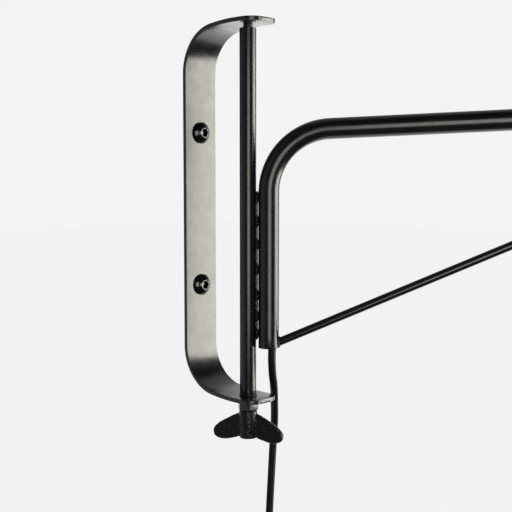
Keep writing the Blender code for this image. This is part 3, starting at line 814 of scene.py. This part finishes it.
def bulb(materials, place):
    sides = [(0.0128, 0.0600 - 0.0003 * i) for i in range(64)]
    cap = [(0, 0.0603), (0.0124, 0.0603), *sides, (0.0090, 0.0370), (0.0045, 0.0352), (0, 0.0350)]
    piece = lathe("bulb_cap_look", cap, 72, wave=screw_wave)
    finished(moved(piece, place), materials["nickel"], "swing_arm", "nickel", "bulb_cap", angle=60)
    centre, size, neck = 0.108, 0.040, 0.0125
    fillet = 0.010
    tangent = math.pi - math.asin((neck + fillet) / (size + fillet))
    globe = [
        (size * math.sin(tangent * i / 40), centre + size * math.cos(tangent * i / 40)) for i in range(41)
    ]
    fillet_centre = (neck + fillet, centre + (size + fillet) * math.cos(tangent))
    globe += arc(fillet_centre, fillet, math.pi * 1.5 - tangent, math.pi, 10)[1:]
    globe += [(neck, 0.0606), (neck - 0.0012, 0.0606), (neck - 0.0012, 0.070)]
    thin = size - 0.0012
    globe += [
        (thin * math.sin(math.radians(a)), centre + thin * math.cos(math.radians(a)))
        for a in range(160, -1, -8)
    ]
    piece = lathe("bulb_glass_look", globe, 96)
    finished(moved(piece, place), materials["opal"], "swing_arm", "opal_glass", "bulb_glass", angle=60)


# Cord


def cord_centreline():
    """The free cord's whole line: down from the arm, round the hank, and down to the plug."""
    entry = Vector(CORD_ROUTE[-1])
    top, bottom = HANK_TOP, HANK_TOP - HANK_RUN
    centre_x = entry.x - HANK_RADIUS
    points = list(CORD_ROUTE)
    line = smooth_route(points + [(entry.x, entry.y, top)], 0.0035)

    def run(x, y, start, end, inward):
        for step in range(1, 19):
            share = step / 18
            pinch = HANK_PINCH * math.sin(math.pi * share) ** 2
            line.append(Vector((x + inward * pinch, y, start + (end - start) * share)))

    def bend(y, z, start):
        for step in range(1, 25):
            angle = start - math.pi * step / 24
            x = centre_x + HANK_RADIUS * math.cos(angle)
            line.append(Vector((x, y - HANK_PITCH / 2 * step / 24, z + HANK_RADIUS * math.sin(angle))))

    for turn in range(HANK_TURNS):
        y = entry.y - HANK_PITCH * turn
        run(entry.x, y, top, bottom, -1)
        bend(y, bottom, 0.0)
        run(entry.x - 2 * HANK_RADIUS, y - HANK_PITCH / 2, bottom, top, 1)
        bend(y - HANK_PITCH / 2, top, math.pi)
    y = entry.y - HANK_PITCH * HANK_TURNS
    run(entry.x, y, top, bottom, -1)
    for step in range(1, 9):
        line.append(Vector((entry.x, y, bottom + (PLUG_TOP - bottom) * step / 8)))
    return line


def cord(materials):
    line = cord_centreline()
    flex = sweep("mains_lead", line, LEAD, 24)
    flex.data.materials.append(materials["flex"])
    flex.data.shade_smooth()
    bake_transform(flex)
    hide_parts("cord_drop", "cord_hank", "cord_tail")
    length = sum((b - a).length for a, b in zip(line, line[1:]))
    print(f"cord: {length:.4f} m in {len(line)} points")
    return flex, line


def hank_tie(surface):
    """A rubber strap drawn round the hank."""
    low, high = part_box("hank_tie")
    band = 0.0016
    half_x, half_y = HANK_RADIUS - HANK_PINCH + LEAD + 0.0002, (high.y - low.y) / 2 - band
    centre = Vector(((low.x + high.x) / 2, (low.y + high.y) / 2, (low.z + high.z) / 2))
    outline = rounded([(-half_x, -half_y), (half_x, -half_y), (half_x, half_y), (-half_x, half_y)], 0.006, 8)
    rows = len(outline)
    points, faces = [], []
    section = rounded([(0.0, -0.0042), (band, -0.0042), (band, 0.0042), (0.0, 0.0042)], 0.0006, 3)
    for i, (x, y) in enumerate(outline):
        before, after = Vector(outline[i - 1]), Vector(outline[(i + 1) % rows])
        along = (after - before).normalized()
        out = Vector((along.y, -along.x))
        for depth, height in section:
            points.append(centre + Vector((x + out.x * depth, y + out.y * depth, height)))
    size = len(section)
    for i in range(rows):
        j = (i + 1) % rows
        for k in range(size):
            m = (k + 1) % size
            faces.append((i * size + k, i * size + m, j * size + m, j * size + k))
    strap = from_points("hank_tie_look", points, faces)
    return finished(strap, surface, "wall_bracket", "rubber", "hank_tie", angle=50)


def plug(materials, x, y):
    """A round two-pin plug with earth clips. Heights run down from the top of its strain relief."""
    place = Matrix.Translation((x, y, PLUG_TOP))
    pieces = []

    def add(node, profile, surface, slot, **shape):
        piece = turned_piece(node, profile, materials[surface], slot, place, "wall_bracket", **shape)
        pieces.append(piece)
        return piece

    relief = [(0, 0), (0.0050, 0)]
    for rib in range(9):
        height, size = -0.0012 - 0.0031 * rib, 0.0052 + 0.00024 * rib
        relief += [(size, height), (size + 0.0001, height - 0.0017), (size - 0.0009, height - 0.0021)]
        relief += [(size - 0.0009, height - 0.0028)]
    relief += [(0.0074, -0.0295), (0.0074, -0.0300), (0, -0.0300)]
    add("plug_relief", relief, "plug", "plug_black", closed=False, edge=0.0003)
    radius = 0.0185
    body = [(0, -0.0303), (0.0090, -0.0303), (0.0125, -0.0345), (0.0160, -0.0392), (0.0180, -0.0440)]
    body += [(0.0180, -0.0560), (radius, -0.0570), (radius, -0.0650)]
    body += [(radius - 0.0008, -0.0655), (0, -0.0655)]
    piece = lathe("plug_body_look", rounded(body, 0.0015, 6, False), 120, wave=grip_wave)
    for side in (-1, 1):
        groove = prism("groove", 0.0033, 0.0140, 4, math.pi / 4 * 0)
        carved(piece, moved(groove, Matrix.Translation((side * radius, 0, -0.0600))))
    pieces.append(finished(moved(piece, place), materials["plug"], "wall_bracket", "plug_black", "plug_body"))
    for side, name in ((-1, "left"), (1, "right")):
        pin = [(0, 0.0095), (0.0024, 0.0095), (0.0024, -0.0080), (0.0015, -0.0093), (0, -0.0095)]
        pin = lathe(f"plug_pin_{name}_look", rounded(pin, 0.0006, 4, False), 32)
        moved(pin, place @ Matrix.Translation((0, side * 0.0095, -0.0658 - 0.0095)))
        pieces.append(finished(pin, materials["nickel"], "wall_bracket", "nickel", f"plug_pin_{name}"))
        low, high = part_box(f"plug_earth_clip_{name}")
        bow = [(-0.00035, -0.0056), (0.0002, -0.0040), (0.0004, 0.0), (0.0002, 0.0040), (-0.00035, 0.0056)]
        back = [(across - 0.0005, along) for across, along in reversed(bow)]
        clip = plate(f"plug_earth_clip_{name}_look", bow + back, 0.0032)
        turn = Matrix.Rotation(math.pi / 2, 4, "X") @ Matrix.Scale(side, 4, (1, 0, 0))
        moved(clip, Matrix.Translation((low + high) / 2) @ turn)
        clip.data.flip_normals() if side < 0 else None
        node = f"plug_earth_clip_{name}"
        pieces.append(finished(clip, materials["nickel"], "wall_bracket", "nickel", node, angle=50))
    return pieces


def grip_wave(radius, height, angle):
    """Shallow finger scallops round the plug's waist."""
    if radius < 0.0170 or not -0.0555 < height < -0.0440:
        return radius
    return radius - 0.0004 * (0.5 + 0.5 * math.cos(angle * 24))


# Stage and light


def area_light(name, azimuth, elevation, distance, width, height, radiance, colour, matt=True):
    """A soft box that faces the bracket from the given direction. Its power gives the stated radiance."""
    light = bpy.data.lights.new(name, "AREA")
    light.shape = "RECTANGLE"
    light.size, light.size_y = width, height
    light.energy = radiance * math.pi * width * height
    light.color = colour
    made = linked(name, light)
    direction = Vector(
        (
            math.cos(math.radians(azimuth)) * math.cos(math.radians(elevation)),
            math.sin(math.radians(azimuth)) * math.cos(math.radians(elevation)),
            math.sin(math.radians(elevation)),
        )
    )
    made.location = Vector((PIVOT_X, 0, 0)) + direction * distance
    made.rotation_euler = direction.to_track_quat("Z", "Y").to_euler()
    made.visible_camera = False
    made.visible_diffuse = matt
    return made


def stage():
    shape = bmesh.new()
    bmesh.ops.create_grid(shape, x_segments=1, y_segments=1, size=12)
    mesh = bpy.data.meshes.new("floor")
    shape.to_mesh(mesh)
    shape.free()
    floor = linked("floor", mesh)
    floor.location = (0, 0, -0.9)
    surface = Surface("pale_floor", (0.02, 0.02, 0.02), 0.8, Specular_IOR_Level=0.0)
    surface.vary("Base Color", surface.noise(3, 3.0), (0.018, 0.018, 0.018), (0.02, 0.02, 0.02))
    surface.shader.inputs["Emission Color"].default_value = (1.0, 1.0, 1.005, 1.0)
    surface.shader.inputs["Emission Strength"].default_value = 0.885
    mesh.materials.append(surface.material)
    floor.visible_glossy = False
    window = (1.0, 0.965, 0.87)
    area_light("window", 47, -3, 2.4, 1.90, 1.80, 3.0, window)
    area_light("window_gloss", 47, -3, 2.41, 1.90, 1.80, 8.4, window, matt=False)
    area_light("soft_box", -37, 0, 2.4, 1.3, 1.5, 2.5, (1.0, 0.98, 0.92))
    area_light("soft_box_gloss", -37, 0, 2.41, 1.3, 1.5, 2.8, (1.0, 0.98, 0.92), matt=False)
    world_light()


def world_light():
    """White for the camera. Reflections see a bright wall side, dimmer upwards, and a dim room."""
    world = bpy.data.worlds.new("studio")
    bpy.context.scene.world = world
    world.use_nodes = True
    nodes, links = world.node_tree.nodes, world.node_tree.links
    nodes.clear()
    place = nodes.new("ShaderNodeTexCoord")
    split = nodes.new("ShaderNodeSeparateXYZ")
    links.new(place.outputs["Generated"], split.inputs["Vector"])
    side = nodes.new("ShaderNodeMapRange")
    side.inputs["From Min"].default_value, side.inputs["From Max"].default_value = -0.5, 0.6
    side.inputs["To Min"].default_value, side.inputs["To Max"].default_value = 0.60, 2.30
    links.new(split.outputs["Y"], side.inputs["Value"])
    height = nodes.new("ShaderNodeMapRange")
    height.inputs["From Min"].default_value, height.inputs["From Max"].default_value = -0.2, 0.5
    height.inputs["To Min"].default_value, height.inputs["To Max"].default_value = 1.05, 0.32
    links.new(split.outputs["Z"], height.inputs["Value"])
    wall = nodes.new("ShaderNodeMath")
    wall.operation = "MULTIPLY"
    links.new(side.outputs["Result"], wall.inputs[0])
    links.new(height.outputs["Result"], wall.inputs[1])
    depth = nodes.new("ShaderNodeMapRange")
    depth.inputs["From Min"].default_value, depth.inputs["From Max"].default_value = 0.0, 0.06
    depth.inputs["To Max"].default_value = 0.035
    links.new(wall.outputs["Value"], depth.inputs["To Min"])
    links.new(split.outputs["X"], depth.inputs["Value"])
    room = nodes.new("ShaderNodeBackground")
    links.new(depth.outputs["Result"], room.inputs["Strength"])
    backdrop = nodes.new("ShaderNodeBackground")
    backdrop.inputs["Color"].default_value = (0.90, 0.90, 0.905, 1)
    seen = nodes.new("ShaderNodeLightPath")
    mix = nodes.new("ShaderNodeMixShader")
    links.new(seen.outputs["Is Camera Ray"], mix.inputs["Fac"])
    links.new(room.outputs["Background"], mix.inputs[1])
    links.new(backdrop.outputs["Background"], mix.inputs[2])
    output = nodes.new("ShaderNodeOutputWorld")
    links.new(mix.outputs["Shader"], output.inputs["Surface"])


bpy.context.scene.view_settings.view_transform = "Standard"
add_camera()
finishes = make_materials()
lead_piece, lead_line = cord(finishes)
on_cord = [hank_tie(finishes["rubber"]), *plug(finishes, lead_line[-1].x, lead_line[-1].y)]
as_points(lead_line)
bracket_strip(finishes["strip"])
for screw_node in ("upper_wall_screw", "lower_wall_screw"):
    wall_screw(screw_node, finishes["oxide"])
pivot(finishes)
arm(finishes)
tube_seam(finishes)
brace(finishes)
lamp_end(finishes)
stage()
